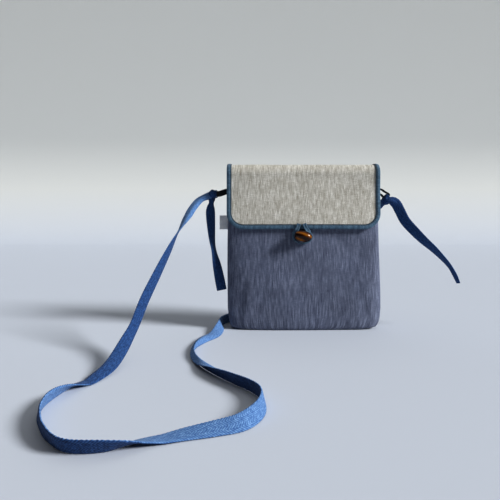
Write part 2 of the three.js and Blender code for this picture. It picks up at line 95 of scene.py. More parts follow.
def streaks(tree, coords, across, along, detail=3.0, seed=0.0):  # noise whose grain is that size in mm
    scaled = addNode(tree, "ShaderNodeMapping", {
        "Vector": coords, "Scale": (1 / (across * mm), 1 / (along * mm), 1),
        "Location": (seed, seed * 1.7, 0)})
    return addNode(tree, "ShaderNodeTexNoise", {
        "Vector": scaled.outputs[0], "Scale": 1, "Detail": detail, "Roughness": 0.6}).outputs["Fac"]


def startCloth(name, roughness, sheen, specular=0.2):  # patterns lie on the UV map, in metres
    material, tree, shader = startMaterial(name, Roughness=roughness, Sheen_Weight=sheen,
                                           Specular_IOR_Level=specular)
    return material, tree, shader, addNode(tree, "ShaderNodeTexCoord").outputs["UV"]


def finishCloth(tree, shader, colour, height, depth, strength):  # depth of the weave in mm
    tree.links.new(colour, shader.inputs["Base Color"])
    bump = addNode(tree, "ShaderNodeBump", {
        "Height": height, "Distance": depth * mm, "Strength": strength})
    tree.links.new(bump.outputs["Normal"], shader.inputs["Normal"])


# Plain weave: each thread has its own tone, which drifts along it, and goes over and under those across it.
# The threads' pitch and slub, the length over which a tone drifts, are in mm. Where a cross thread is on top,
# lead is the share that the upright one still has in the colour.
def plainWeave(tree, coords, pitch, slub, lead, seed):
    noiseStep, crossStep = 7.31, 5  # how far apart two threads, and the two sets of them, lie in the noise
    perMetre = 1 / (pitch * mm)
    grid = addNode(tree, "ShaderNodeMapping", {"Vector": coords, "Scale": (perMetre, perMetre, 1)})
    place = addNode(tree, "ShaderNodeSeparateXYZ", {"Vector": grid.outputs[0]})
    cell = addNode(tree, "ShaderNodeVectorMath", {0: grid.outputs[0]}, operation="FLOOR")
    thread = addNode(tree, "ShaderNodeSeparateXYZ", {"Vector": cell.outputs[0]})
    tones, heights = [], []
    for k, own, along in ((0, "X", "Y"), (1, "Y", "X")):
        pick = addNode(tree, "ShaderNodeMath", {0: thread.outputs[own], 1: noiseStep}, operation="MULTIPLY")
        drift = addNode(tree, "ShaderNodeMath", {0: place.outputs[along], 1: pitch / slub[k]},
                        operation="MULTIPLY")
        spot = addNode(tree, "ShaderNodeCombineXYZ", {
            "X": pick.outputs[0], "Y": drift.outputs[0], "Z": seed + crossStep * k})
        grain = addNode(tree, "ShaderNodeTexNoise", {"Vector": spot.outputs[0], "Scale": 1, "Detail": 2.0})
        tones.append(grain.outputs["Fac"])
        turn = addNode(tree, "ShaderNodeMath", {0: place.outputs[own], 1: math.pi}, operation="MULTIPLY")
        wave = addNode(tree, "ShaderNodeMath", {0: turn.outputs[0]}, operation="SINE")
        crown = addNode(tree, "ShaderNodeMath", {0: wave.outputs[0]}, operation="ABSOLUTE")
        heights.append(crown.outputs[0])
    count = addNode(tree, "ShaderNodeMath", {0: thread.outputs["X"], 1: thread.outputs["Y"]},
                    operation="ADD")
    over = addNode(tree, "ShaderNodeMath", {0: count.outputs[0], 1: 1.0}, operation="PINGPONG")
    show = addNode(tree, "ShaderNodeMath", {0: over.outputs[0], 1: 1 - lead, 2: lead},
                   operation="MULTIPLY_ADD")
    tone = addNode(tree, "ShaderNodeMix", {0: show.outputs[0], 2: tones[1], 3: tones[0]})
    height = addNode(tree, "ShaderNodeMix", {0: over.outputs[0], 2: heights[1], 3: heights[0]})
    return tone.outputs[0], height.outputs[0]


# Yarn-dyed cotton chambray: white and indigo threads side by side give a fine grey-blue fleck with no gloss
def makeChambray():
    material, tree, shader, coords = startCloth("cottonChambray", roughness=0.92, sheen=0.1)
    # such threads are about 0.4 mm apart, drawn coarser to show
    tone, height = plainWeave(tree, coords, pitch=0.9, slub=(16, 4), lead=0.6, seed=2.0)
    threads = setRamp(addNode(tree, "ShaderNodeValToRGB", {"Fac": tone}),
                      [(0.3, "#4b5165"), (0.5, "#666d82"), (0.7, "#848ba0")])
    cloud = streaks(tree, coords, 40, 55, detail=2.0, seed=11.0)
    fade = addNode(tree, "ShaderNodeMapRange", {
        "Value": cloud, "From Min": 0.3, "From Max": 0.7, "To Min": 0.84, "To Max": 1.06})
    shade = addNode(tree, "ShaderNodeVectorMath", {0: threads, "Scale": fade.outputs[0]},
                    operation="SCALE")
    finishCloth(tree, shader, shade.outputs[0], height, 0.3, 0.5)
    return material


# Half-bleached linen: uneven slub threads, cream with grey and brown ones among them
def makeLinen():
    material, tree, shader, coords = startCloth("slubLinen", roughness=0.9, sheen=0.1)
    # such threads are about 0.5 mm apart, drawn coarser to show
    tone, height = plainWeave(tree, coords, pitch=0.95, slub=(11, 5), lead=0.45, seed=7.0)
    threads = setRamp(addNode(tree, "ShaderNodeValToRGB", {"Fac": tone}),
                      [(0.28, "#989285"), (0.45, "#b7b3a8"), (0.55, "#cac7be"), (0.72, "#e8e6df")])
    fleck = streaks(tree, coords, 1.6, 5, seed=19.0)
    husk = addNode(tree, "ShaderNodeMapRange", {
        "Value": fleck, "From Min": 0.6, "From Max": 0.72, "To Min": 0.0, "To Max": 0.4})
    blend = addNode(tree, "ShaderNodeMix", {0: husk.outputs[0], 6: threads, 7: linear("#8d7d66")},
                    data_type="RGBA")
    finishCloth(tree, shader, blend.outputs[2], height, 0.35, 0.5)
    return material


# Cotton bias binding: a fine weave set slantwise and rubbed paler in places. Painted shade darkens it
# along its inner edge by the seam's groove; the last argument is the share of colour left there.
def makeBinding(name, innerPaintedShade):
    material, tree, shader, coords = startCloth(name, roughness=0.85, sheen=0.15)
    turned = addNode(tree, "ShaderNodeMapping", {"Vector": coords, "Rotation": (0, 0, math.radians(45))})
    weave = streaks(tree, turned.outputs[0], 0.8, 2.4)  # such threads are about 0.3 mm apart, drawn coarser
    rub = streaks(tree, coords, 16, 3, detail=2.0, seed=3.0)
    both = addNode(tree, "ShaderNodeMath", {0: weave, 1: rub}, operation="ADD")
    half = addNode(tree, "ShaderNodeMath", {0: both.outputs[0], 1: 0.5}, operation="MULTIPLY")
    ramp = addNode(tree, "ShaderNodeValToRGB", {"Fac": half.outputs[0]})
    tone = setRamp(ramp, [(0.34, "#354b5d"), (0.5, "#4a6479"), (0.66, "#648093")])
    parts = addNode(tree, "ShaderNodeSeparateXYZ", {"Vector": coords})
    # painted shade: the colour darkens towards the binding's inner edge
    edge = addNode(tree, "ShaderNodeMapRange", {
        "Value": parts.outputs["X"], "From Min": 1.2 * mm, "From Max": 2.4 * mm,
        "To Min": innerPaintedShade, "To Max": 1.0})
    shade = addNode(tree, "ShaderNodeVectorMath", {0: tone, "Scale": edge.outputs[0]}, operation="SCALE")
    finishCloth(tree, shader, shade.outputs[0], weave, 0.25, 0.5)
    return material


# Herringbone cotton tape: slanting ribs that meet in lines of arrows. Its face is blue and its back indigo.
def makeHerringbone(name, tones):
    columnWidth, ribPitch = 2.75, 1.7  # such ribs are about 0.9 mm apart, drawn coarser to show
    material, tree, shader, coords = startCloth(name, roughness=0.88, sheen=0.06, specular=0.15)
    parts = addNode(tree, "ShaderNodeSeparateXYZ", {"Vector": coords})
    column = addNode(tree, "ShaderNodeMath", {0: parts.outputs["X"], 1: columnWidth * mm},
                     operation="PINGPONG")
    slant = addNode(tree, "ShaderNodeMath", {0: column.outputs[0], 1: parts.outputs["Y"]},
                    operation="ADD")
    turns = addNode(tree, "ShaderNodeMath", {0: slant.outputs[0], 1: 2 * math.pi / (ribPitch * mm)},
                    operation="MULTIPLY")
    rib = addNode(tree, "ShaderNodeMath", {0: turns.outputs[0]}, operation="SINE")
    yarn = streaks(tree, coords, 1.2, 3.2)
    level = addNode(tree, "ShaderNodeMapRange", {
        "Value": rib.outputs[0], "From Min": -1.0, "From Max": 1.0, "To Min": -0.14, "To Max": 0.14})
    weave = addNode(tree, "ShaderNodeMath", {0: yarn, 1: level.outputs[0]}, operation="ADD")
    ramp = addNode(tree, "ShaderNodeValToRGB", {"Fac": weave.outputs[0]})
    tone = setRamp(ramp, list(zip((0.26, 0.5, 0.74), tones)))
    finishCloth(tree, shader, tone, weave.outputs[0], 0.5, 0.6)
    return material


# Black cotton twill tape: close slanting ribs, quite dead in the light
def makeTwill():
    material, tree, shader, coords = startCloth("blackTwill", roughness=0.9, sheen=0.1)
    turned = addNode(tree, "ShaderNodeMapping", {"Vector": coords, "Rotation": (0, 0, math.radians(35))})
    rib = streaks(tree, turned.outputs[0], 0.7, 5)
    ramp = addNode(tree, "ShaderNodeValToRGB", {"Fac": rib})
    tone = setRamp(ramp, [(0.35, "#0b0c0f"), (0.65, "#24262d")])
    finishCloth(tree, shader, tone, rib, 0.3, 0.6)
    return material


# Off-white cotton ribbon: a fine rep weave, faintly soiled
def makeRibbon():
    material, tree, shader, coords = startCloth("cottonRibbon", roughness=0.85, sheen=0.1)
    rep = streaks(tree, coords, 4, 0.7)
    soil = streaks(tree, coords, 5, 6, detail=2.0, seed=2.0)
    mean = addNode(tree, "ShaderNodeMath", {0: rep, 1: soil}, operation="ADD")
    half = addNode(tree, "ShaderNodeMath", {0: mean.outputs[0], 1: 0.5}, operation="MULTIPLY")
    ramp = addNode(tree, "ShaderNodeValToRGB", {"Fac": half.outputs[0]})
    tone = setRamp(ramp, [(0.35, "#d9dade"), (0.62, "#f6f6f5")])
    finishCloth(tree, shader, tone, rep, 0.2, 0.5)
    return material


# Spun cotton sewing thread: its twist shows as fine light and dark flecks along each stitch
def makeThread(name, dark, light):
    material, tree, shader = startMaterial(name, Roughness=0.7, Sheen_Weight=0.2)
    coords = addNode(tree, "ShaderNodeTexCoord").outputs["Object"]
    grain = addNode(tree, "ShaderNodeTexNoise", {
        "Vector": coords, "Scale": 1 / (0.5 * mm), "Detail": 2.0})
    ramp = addNode(tree, "ShaderNodeValToRGB", {"Fac": grain.outputs["Fac"]})
    tree.links.new(setRamp(ramp, [(0.35, dark), (0.65, light)]), shader.inputs["Base Color"])
    return material


# Polished tiger's-eye: dark brown stone with silky amber bands under a clear gloss
def makeStone():
    material, tree, shader = startMaterial("polishedStone", Roughness=0.26, IOR=1.54,
                                           Specular_IOR_Level=0.12, Coat_Weight=0.3, Coat_Roughness=0.08)
    coords = addNode(tree, "ShaderNodeTexCoord").outputs["Object"]
    turned = addNode(tree, "ShaderNodeMapping", {
        "Vector": coords, "Rotation": (0.3, math.radians(-20), 0.2)})
    bands = addNode(tree, "ShaderNodeTexWave", {
        "Vector": turned.outputs[0], "Scale": 1 / (26 * mm), "Distortion": 3.2, "Detail": 3.0,
        "Detail Scale": 1.4}, bands_direction="Z")
    ramp = addNode(tree, "ShaderNodeValToRGB", {"Fac": bands.outputs["Fac"]})
    tone = setRamp(ramp, [(0.2, "#220c02"), (0.5, "#431d03"), (0.78, "#673705"), (0.97, "#8a540b")])
    tree.links.new(tone, shader.inputs["Base Color"])
    return material


# Matt studio sweep: cool paint on the floor, warmer and paler up the back, partly painted light there
def makeSweep():
    material, tree, shader = startMaterial("sweepPaintWithLight", Roughness=0.9, Specular_IOR_Level=0.1)
    coords = addNode(tree, "ShaderNodeTexCoord").outputs["Object"]
    place = addNode(tree, "ShaderNodeSeparateXYZ", {"Vector": coords})
    # painted light: the sweep grows paler with height, brightening its upright back
    rise = addNode(tree, "ShaderNodeMapRange", {
        "Value": place.outputs["Z"], "From Min": 0.0, "From Max": 0.3})
    ramp = addNode(tree, "ShaderNodeValToRGB", {"Fac": rise.outputs[0]})
    tone = setRamp(ramp, [(0.0, "#c2c8d2"), (1.0, "#d8dad8")])
    tree.links.new(tone, shader.inputs["Base Color"])
    return material


chambray, linen = makeChambray(), makeLinen()
# the binding gets painted shade along its inner edge, the loop gets none
bindingCotton, loopCotton = makeBinding("biasBinding", 0.4), makeBinding("biasLoop", 1.0)
tapeTones = [makeHerringbone("herringboneFace", ("#3f5f92", "#5479a8", "#789bc6")),
             makeHerringbone("herringboneBack", ("#182e53", "#264472", "#3b5f93"))]
blackTwill, ribbon = makeTwill(), makeRibbon()
bindingThread = makeThread("slateThread", "#31434f", "#5d7482")
shankThread = makeThread("indigoThread", "#1c222e", "#3a4458")
stone, sweepPaintAndLight = makeStone(), makeSweep()
print("materials made")


# A mesh from rows of points. uv has one more column than a closed row, for the place where it meets itself.
def skinRows(rows, uv, closed=True):
    rows = np.asarray(rows, float)
    count, across = rows.shape[:2]
    faces, corners = [], []
    for i in range(count - 1):
        for k in range(across if closed else across - 1):
            j = (k + 1) % across
            faces.append((i * across + k, i * across + j, (i + 1) * across + j, (i + 1) * across + k))
            corners.append((uv[i][k], uv[i][k + 1], uv[i + 1][k + 1], uv[i + 1][k]))
    return rows.reshape(-1, 3), faces, corners


def makePiece(name, parts, materials, replaced=()):  # one object from several skins
    points, faces, corners, tones = [], [], [], []
    for partPoints, partFaces, partCorners, *partTones in parts:
        start = len(points)
        tones.extend(partTones[0] if partTones else [0] * len(partFaces))
        points.extend(map(tuple, partPoints))
        faces.extend(tuple(start + k for k in face) for face in partFaces)
        corners.extend(partCorners)
    mesh = bpy.data.meshes.new(name)
    mesh.from_pydata(points, [], faces)
    mesh.polygons.foreach_set("material_index", tones)
    layer = mesh.uv_layers.new(name="UVMap")
    layer.data.foreach_set("uv", np.array([c for face in corners for c in face], np.float32).ravel())
    shell = bmesh.new()
    shell.from_mesh(mesh)
    bmesh.ops.remove_doubles(shell, verts=shell.verts, dist=1e-6)
    bmesh.ops.recalc_face_normals(shell, faces=shell.faces)
    shell.to_mesh(mesh)
    shell.free()
    mesh.polygons.foreach_set("use_smooth", [True] * len(mesh.polygons))
    for material in materials:
        mesh.materials.append(material)
    piece = bpy.data.objects.new(name, mesh)
    scene.collection.objects.link(piece)
    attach(piece, "root")
    if replaced:
        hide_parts(*replaced)
    return piece


# Rows of a table joined by one smooth curve through all their columns, a step every few tenths of a mm
def followRoute(rows, step, endless=False):
    table = np.array(rows, float)
    if endless:
        knots = np.vstack([table[-1], table, table[:2]])
    else:
        knots = np.vstack([2 * table[0] - table[1], table, 2 * table[-1] - table[-2]])
    line = []
    for a, b, c, d in zip(knots, knots[1:], knots[2:], knots[3:]):
        steps = max(2, round(np.linalg.norm((c - b)[:3]) / step))
        for t in np.arange(steps) / steps:
            line.append(0.5 * (2 * b + (c - a) * t + (2 * a - 5 * b + 4 * c - d) * t ** 2
                               + (3 * b - a - 3 * c + d) * t ** 3))
    line.append(knots[1] if endless else table[-1])
    return np.array(line)


def unit(vectors):
    return vectors / np.linalg.norm(vectors, axis=-1, keepdims=True)


def travelAlong(points):  # distance from the first point to each
    return np.concatenate([[0], np.cumsum(np.linalg.norm(np.diff(points, axis=0), axis=1))])


# A woven tape along a route of x, y, z, roll, fold and crease, in mm and degrees. Its edges are rounded, and
# both sides slope down by the fold from the crease, which is the middle line at 0 and an edge at 1 or -1.
tapeShape = {"edgePower": 9, "grooveWidth": 0.45, "creaseSoftness": 0.012, "scallopPitch": 2.4,
             "waverPerMm": 0.03}


def tapeSkin(rows, size, hint, endless=False):
    line = followRoute(rows, size["step"], endless)
    place = line[:, :3]
    run = np.gradient(place, axis=0)
    if endless:
        run[0] = run[-1] = place[1] - place[-2]
    run = unit(run)
    travel = travelAlong(place)
    seed = size.get("seed", 0)
    waver = np.array([noise.noise(Vector((s * tapeShape["waverPerMm"], seed, 0.5))) for s in travel])
    roll = np.radians(line[:, 3] + size.get("waver", 0) * waver)[:, None]
    fold, crease = np.hstack([line[:, 4:], np.zeros((len(line), 2))])[:, :2].T
    # height of the lower side over the floor, where it is given
    lift = np.maximum(line[:, 6], size["gap"]) if line.shape[1] > 6 else None
    fold = np.radians(fold)
    wide = unit(hint - run * (run @ hint)[:, None])
    wide = np.cos(roll) * wide + np.sin(roll) * np.cross(run, wide)
    thick = np.cross(run, wide)
    columns = size.get("columns", 15)
    across = np.sin(np.linspace(-math.pi / 2, math.pi / 2, columns))
    groove = size.get("groove", 0) * np.exp(-(across / tapeShape["grooveWidth"]) ** 2)
    body = size["thickness"] / 2 * (np.sqrt(1 - np.abs(across) ** tapeShape["edgePower"]) - groove)
    sections, marks = [], []
    order = [(k, 1) for k in range(columns)] + [(k, -1) for k in range(columns - 2, 0, -1)]
    for i in range(len(place)):
        scallop = size.get("scallop", 0) * math.sin(2 * math.pi * travel[i] / tapeShape["scallopPitch"])
        half = size["width"] / 2 * (1 + scallop)
        crest = (1 + crease[i] ** 2) / 2 - np.sqrt((across - crease[i]) ** 2 + tapeShape["creaseSoftness"])
        middle = across * half * math.cos(fold[i])
        bow = crest * half * math.sin(fold[i])
        sections.append([place[i] + wide[i] * middle[k] + thick[i] * (bow[k] + side * body[k])
                         for k, side in order])
        marks.append([(across[k] * half * mm, travel[i] * mm) for k, side in order + order[:1]])
    sections = np.array(sections)
    if lift is not None:
        settle = np.array([0, 0, 1]) * (lift - sections[:, :, 2].min(axis=1))[:, None]
        sections += settle[:, None]
        place = place + settle
    points, faces, corners = skinRows(sections * mm, marks)
    back = size.get("back", 0)  # the side that shows the tape's back: 1 or -1, 0 for a tape of one tone
    ringTones = [int(back != 0 and (k < columns - 1) == (back > 0)) for k in range(len(order))]
    tones = ringTones * (len(place) - 1)
    if not endless:
        count = len(order)
        for start, i in ((0, 0), ((len(place) - 1) * count, -1)):  # the cut ends
            for k in range(columns - 1):
                ring = [k, k + 1, (count - k - 1) % count, (count - k) % count]
                ring = list(dict.fromkeys(ring))
                faces.append(tuple(start + n for n in ring))
                corners.append([marks[i][n] for n in ring])
                tones.append(0)
    return (points, faces, corners, tones), place * mm, travel[-1] * mm


# Strap: x, y, lift over the floor, roll, fold and crease for each point of its way
strapSet = {"width": 11, "thickness": 1.5, "step": 0.6, "waver": 5, "columns": 15, "seed": 1.0, "gap": 0.2,
            "scallop": 0.022, "back": -1, "route": [
    (-101.8, -0.6, 144.8, -508, 22, 0.2), (-107.8, -2, 142.8, -500, 24, 0.3),
    (-116, -7, 139, -482, 24, 0.3), (-124, -20, 126.8, -465, 28, 0.3), (-130.4, -41, 109, -416, 14, 0.3),
    (-136.6, -62, 90.8, -374, -4), (-145.2, -84, 68.2, -358, -8), (-155, -103, 43.4, -350, -8),
    (-162, -119.5, 20.2, -342, -8), (-166.4, -142, 8.4, -308, -8), (-168.8, -166, 3.2, -286, -14, 0.4),
    (-175.4, -184.5, 0.6, -270, -20, 0.4), (-183.6, -201, 0, -246, -16, 0.2), (-188.8, -221, 0, -214, -4),
    (-189.8, -235, 0, -200), (-186.8, -250, 0, -192), (-181.4, -263, 0, -183), (-170.6, -281, 0, -168),
    (-154, -296, 0, -152), (-132, -295.5, 0, -142), (-116, -285.5, 0.4, -102), (-99, -277.5, 0, -80),
    (-79, -271.5, 0, -62), (-62.5, -264.5, 0, -44), (-52, -247.5, 0, -24), (-50.5, -227, 0, -14),
    (-58, -209, 0, -18), (-72, -191.5, 0, -22, 8), (-87.5, -170, 0, -36, 34), (-100.4, -147, 0, -62, 64),
    (-108.4, -122, 0, -70, 70), (-110.2, -95, 0, -70, 68), (-104.5, -69, 0, -70, 34),
    (-95, -46, 0, -72, 6), (-91, -20, 0, -40), (-90, 5, 0, 0), (-79, 22, 0, 0), (-45, 25, 0, 0),
    (-8, 25, 3, 0), (26, 25, 18, 0), (52, 25, 52, 0), (70, 24.6, 94, 0), (83, 19.6, 126, 0),
    (89.6, 8.4, 133.4, -12), (91.8, 2, 137, -12)]}


def standStrap(x, y, lift, roll, fold=0, crease=0):  # a first height, and at the end the lift it settles to
    reach = strapSet["width"] / 2 * abs(math.cos(math.radians(roll)))
    return x, y, lift + reach, roll, fold, crease, lift + strapSet["gap"]


# The strap's two free ends: x, y, z, roll and fold
tailSet = {**strapSet, "seed": 4.0, "back": 1, "left": [
    (-100.2, -0.6, 148.4, -28, 34), (-100.4, -1.2, 144, -28, 42), (-100.8, -2, 139.4, -26, 58),
    (-101.8, -2.8, 133.6, -25, 28), (-102.4, -3, 127, -25, 6), (-101.6, -4, 113, -42, 6),
    (-100.4, -4, 98, -60, 8), (-99, -4, 89, -68, 8), (-97.4, -4, 80, -58, 6), (-95.6, -4, 71, -38, 4),
    (-92.4, -4, 54, -14, 3), (-90.2, -4, 42.3, -6, 4)], "right": [
    (92.4, -5, 141.4, 98, 50), (96.2, -6.4, 141.8, 102, 42), (100, -6.4, 140.6, 106, 20),
    (103.6, -5.6, 137.4, 109, 6), (107.8, -4.6, 130.4, 111, 0), (113.6, -5, 119.5, 113, 4),
    (123.2, -6.5, 108.5, 122, 4), (133.2, -7.5, 98.5, 137, 0), (143, -8, 90, 151, 0),
    (152, -8, 81.4, 162, 0), (161, -8, 71, 172, 14), (168.2, -8, 60, 184, 34), (173, -8, 51.2, 200, 36)]}

strapRows = [standStrap(*row) for row in strapSet["route"]]
strapSkin, strapPath, strapLength = tapeSkin(strapRows, strapSet, upright)
strap = makePiece("strap_tape", [strapSkin], tapeTones, ["strap"])
leftSkin, leftPath, leftLength = tapeSkin(tailSet["left"], tailSet, sideways)
tailLeft = makePiece("tail_tape_left", [leftSkin], tapeTones, ["strap_tail_left"])
rightSkin, rightPath, rightLength = tapeSkin(tailSet["right"], tailSet, frontToBack)
tailRight = makePiece("tail_tape_right", [rightSkin], tapeTones, ["strap_tail_right"])
print("strap", round(strapLength, 3), "tails", round(leftLength, 3), round(rightLength, 3))

# Knots: a bight of gathered tape through the tab's eye, and turns of tape wound over a crumpled core, each
# with its tilt and lean
knotSet = {"radii": (5.2, 5.0, 4.8), "bight": (2.4, 3.7), "core": 0.84, "coreCloth": (25, 14),
           "crumple": 0.09, "crumpleWaves": 2.1, "sink": 0.8,
           "wrap": {"width": 5.4, "thickness": 1.2, "step": 0.5, "columns": 11, "back": 1},
           "gather": {"width": 4.2, "thickness": 1.4, "step": 0.5, "columns": 11, "back": 1},
           "left": {"centre": (-100, -0.6, 149.5), "eye": (-96.6, 0, 149.5),
                    "turns": [(0.35, 0.1), (-0.8, -0.3), (1.3, 0.25)]},
           "right": {"centre": (92.8, -0.8, 142.4), "eye": (94, 0, 146.2),
                     "turns": [(0.9, 0.15), (-0.5, -0.3), (0.1, 0.3)]}}


def wrapLoop(centre, first, second, radii, count=24):  # an endless tape flat on the lump
    loop = []
    for a in 2 * math.pi * np.arange(count) / count:
        out = first * radii[0] * math.cos(a)
        loop.append((*(np.array(centre) + out + second * radii[1] * math.sin(a)), 0))
    return loop


def coreSkin(centre, radii, rows=16, around=24):
    rings, marks = [], []
    long, tall = knotSet["coreCloth"]
    for i in range(rows + 1):
        polar = math.pi * i / rows
        ring = []
        for k in range(around):
            a = 2 * math.pi * k / around
            out = np.array([math.sin(polar) * math.cos(a), math.sin(polar) * math.sin(a), math.cos(polar)])
            crumple = 1 + knotSet["crumple"] * noise.noise(Vector(out * knotSet["crumpleWaves"]))
            ring.append((np.array(centre) + out * radii * crumple) * mm)
        rings.append(ring)
        marks.append([(k / around * long * mm, i / rows * tall * mm) for k in range(around + 1)])
    return skinRows(rings, marks)


def makeKnot(name, side, out, over, node):
    centre, eye = side["centre"], side["eye"]
    radii = np.array(knotSet["radii"])
    skins = [coreSkin(centre, radii * knotSet["core"])]
    for tilt, lean in side["turns"]:
        first = unit(np.array([math.sin(tilt), 0, math.cos(tilt)]))
        second = unit(np.cross(np.array([math.cos(tilt), lean, -math.sin(tilt)]), first))
        loop = wrapLoop(centre, first, second, (radii[2] - knotSet["sink"], radii[1] - knotSet["sink"]))
        skins.append(tapeSkin(loop, knotSet["wrap"], np.cross(first, second), endless=True)[0])
    bight = wrapLoop(eye, out, over, knotSet["bight"], 12)
    skins.append(tapeSkin(bight, knotSet["gather"], np.cross(out, over), endless=True)[0])
    return makePiece(name, skins, tapeTones, [node])


knotLeft = makeKnot("knot_tape_left", knotSet["left"], sideways, upright, "knot_left")
downOut = np.array([0.6, 0, -0.8])  # the right eye's way out of the tab
knotRight = makeKnot("knot_tape_right", knotSet["right"], downOut, frontToBack, "knot_right")
print("knots tied")

# Pouch: a lofted shell, with the cloth's dents and pulled folds. A face is -1 at the front and 1 at the back.
pouchSet = {
    "rim": 166, "wall": 1.8, "roundness": 5.2, "plan": (84, 20), "around": 288, "sideWeight": 2.2,
    "hem": 11, "hemThickness": 0.45, "hemSharpness": 2.5, "tuckWidth": 7, "tuckFade": 12,
    "seamDepth": 0.35, "seamWidth": 1.1, "seamFade": 8,
    # waves per mm in x, y and z, and depth; the slack grows from nothing at the base to full at slackHeight
    "slack": [((0.028, 0.02, 0.03), 0.7), ((0.09, 0.05, 0.07), 0.22)], "slackHeight": 14,
    "pucker": {"depth": 0.22, "wave": 0.7, "waver": 2.2, "waverWave": 0.05, "height": 7, "spread": 6},
    # height, half-width, half-depth, side crease and shift to the right
    "levels": [
        (0, 69.5, 17.2, 0, 0), (1.2, 76.5, 18.6, 0, 0.5), (3, 81.2, 19.6, 0, 1.2),
        (5.8, 82.6, 20.1, 0.1, 1.6), (9, 83.6, 20.3, 0.2, 1.8), (14, 84.5, 20.4, 0.4, 1.8),
        (24, 85.3, 20.4, 0.7, 1.6), (40, 85.2, 20.4, 1, 1.3), (70, 84.6, 20.2, 1.4, 0.5),
        (95, 84, 19.6, 2, -0.1), (117, 83.6, 18.2, 2.7, -0.3), (140, 83.4, 15.8, 3.6, -0.2),
        (155, 83.3, 14.2, 4.4, 0), (166, 83.2, 13.2, 5, 0)],
    # x, z, half-width, half-height, depth and face
    "dents": [
        (-20, 52, 44, 52, -3.2, -1), (50, 62, 20, 48, 2, -1), (-62, 40, 7, 18, -1.3, -1),
        (-74, 44, 8, 22, 0.8, -1), (62, 88, 9, 14, 0.8, -1), (-14, 26, 34, 12, 0.7, -1),
        (30, 70, 26, 40, 1.4, 1), (-44, 48, 20, 34, 1.2, 1)],
    # x, z, half-length, half-width, angle, depth and face; a lower welt lies beside each fold
    "folds": [
        (-68, 36, 26, 4.5, 76, 0.9, -1), (-55, 22, 20, 4, 58, 0.6, -1), (64, 34, 24, 5, 102, 0.7, -1),
        (36, 14, 26, 4, 18, 0.4, -1), (-30, 92, 22, 4, 35, 0.4, -1), (40, 96, 20, 4, 140, 0.4, -1),
        (-30, 60, 30, 6, 70, 0.7, 1), (50, 40, 26, 5, 115, 0.7, 1)],
    "weltShare": 0.55, "weltOff": 1.9}


def pouchDent(x, z, face):
    depth = 0
    for dx, dz, wide, tall, deep, side in pouchSet["dents"]:
        depth += deep * math.exp(-((x - dx) / wide) ** 2 - ((z - dz) / tall) ** 2) if side == face else 0
    for fx, fz, long, thin, angle, deep, side in pouchSet["folds"]:
        if side == face:
            c, s = math.cos(math.radians(angle)), math.sin(math.radians(angle))
            along, off = (x - fx) * c + (z - fz) * s, (z - fz) * c - (x - fx) * s
            welt = pouchSet["weltShare"] * math.exp(-((off - pouchSet["weltOff"] * thin) / thin) ** 2)
            depth += deep * math.exp(-(along / long) ** 2) * (math.exp(-(off / thin) ** 2) - welt)
    return depth


def bend(value, power):
    return math.copysign(abs(value) ** (2 / power), value)


def planAngles():  # spaced evenly round the plan, closer on the narrow sides
    fine = np.linspace(0, 2 * math.pi, 7201)
    power = pouchSet["roundness"]
    wide, deep = pouchSet["plan"]
    x = np.array([wide * bend(math.cos(a), power) for a in fine])
    y = np.array([deep * bend(math.sin(a), power) for a in fine])
    steps = np.abs(np.diff(x)) + pouchSet["sideWeight"] * np.abs(np.diff(y))
    travel = np.concatenate([[0], np.cumsum(steps)])
    return np.interp(np.linspace(0, travel[-1], pouchSet["around"] + 1)[:-1], travel, fine)


angles = planAngles()


def pouchLevel(z, column):
    table = np.array(pouchSet["levels"], float)
    return np.interp(z, table[:, 0], table[:, column])


def pouchRing(z, inset=0.0):
    wide, deep, tuck, shift = (pouchLevel(z, k) for k in (1, 2, 3, 4))
    wide, deep = wide - inset, deep - inset
    power, pucker = pouchSet["roundness"], pouchSet["pucker"]
    hem = 0
    if inset == 0:
        pastHem = z - pouchSet["rim"] + pouchSet["hem"]
        hem = pouchSet["hemThickness"] * (1 / (1 + math.exp(-pastHem * pouchSet["hemSharpness"])))
    ring = []
    for a in angles:
        x, y = wide * bend(math.cos(a), power), deep * bend(math.sin(a), power)
        face = math.copysign(1, y)
        soft = min(1, abs(y / deep) ** 2)
        slack = sum(depth * noise.noise(Vector((x * i, y * j, z * k)))
                    for (i, j, k), depth in pouchSet["slack"]) * min(1, z / pouchSet["slackHeight"])
        waver = pucker["waver"] * noise.noise(Vector((x * pucker["waverWave"], face, 1)))
        gather = pucker["depth"] * math.sin(x * pucker["wave"] + waver)
        gather *= math.exp(-((z - pucker["height"]) / pucker["spread"]) ** 2)
        side = abs(x / wide)
        crease = tuck * math.exp(-(y / pouchSet["tuckWidth"]) ** 2) * side ** pouchSet["tuckFade"]
        seam = pouchSet["seamDepth"] * math.exp(-(y / pouchSet["seamWidth"]) ** 2)
        seam *= side ** pouchSet["seamFade"]
        inwards = pouchDent(x, z, face) + slack + gather - hem
        ring.append((x + shift - math.copysign(crease + seam, x), y - face * soft * inwards, z))
    return ring


